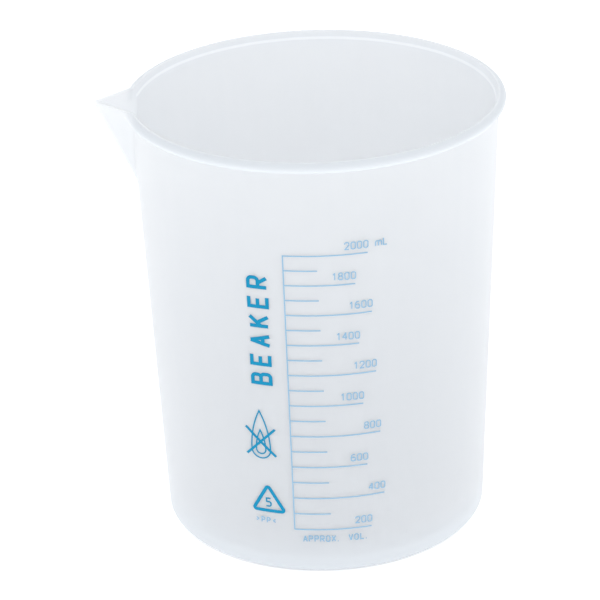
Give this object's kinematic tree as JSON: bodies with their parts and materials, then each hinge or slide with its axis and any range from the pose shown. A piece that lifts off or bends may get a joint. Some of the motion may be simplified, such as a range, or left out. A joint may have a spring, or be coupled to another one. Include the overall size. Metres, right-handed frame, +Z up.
{
  "type": "graduated beaker",
  "caption": "Large low-form translucent plastic beaker with a beaded rim, a V-shaped pouring spout, a recessed foot and a blue volume scale printed on its wall.",
  "frame": {"origin": "centre of the ring that the beaker stands on, at table height", "axes": "+Z up along the axis of the body, the spout points along -X, the printed scale faces -Y"},
  "size_m": [0.1653, 0.1532, 0.183],
  "materials": {
    "translucent_plastic": "translucent natural polypropylene, satin",
    "blue_ink": "satin screen-printing ink"
  },
  "bodies": {
    "root": {"vessel": "translucent_plastic", "scale_spine": "blue_ink", "long_scale_lines": "blue_ink", "medium_scale_lines": "blue_ink", "short_scale_lines": "blue_ink", "numeral_200": "blue_ink", "numeral_400": "blue_ink", "numeral_600": "blue_ink", "numeral_800": "blue_ink", "numeral_1000": "blue_ink", "numeral_1200": "blue_ink", "numeral_1400": "blue_ink", "numeral_1600": "blue_ink", "numeral_1800": "blue_ink", "numeral_2000": "blue_ink", "unit_mark": "blue_ink", "volume_legend": "blue_ink", "upright_word": "blue_ink", "crossed_drop": "blue_ink", "resin_triangle": "blue_ink", "resin_number": "blue_ink", "resin_letters": "blue_ink"}
  },
  "joints": []
}
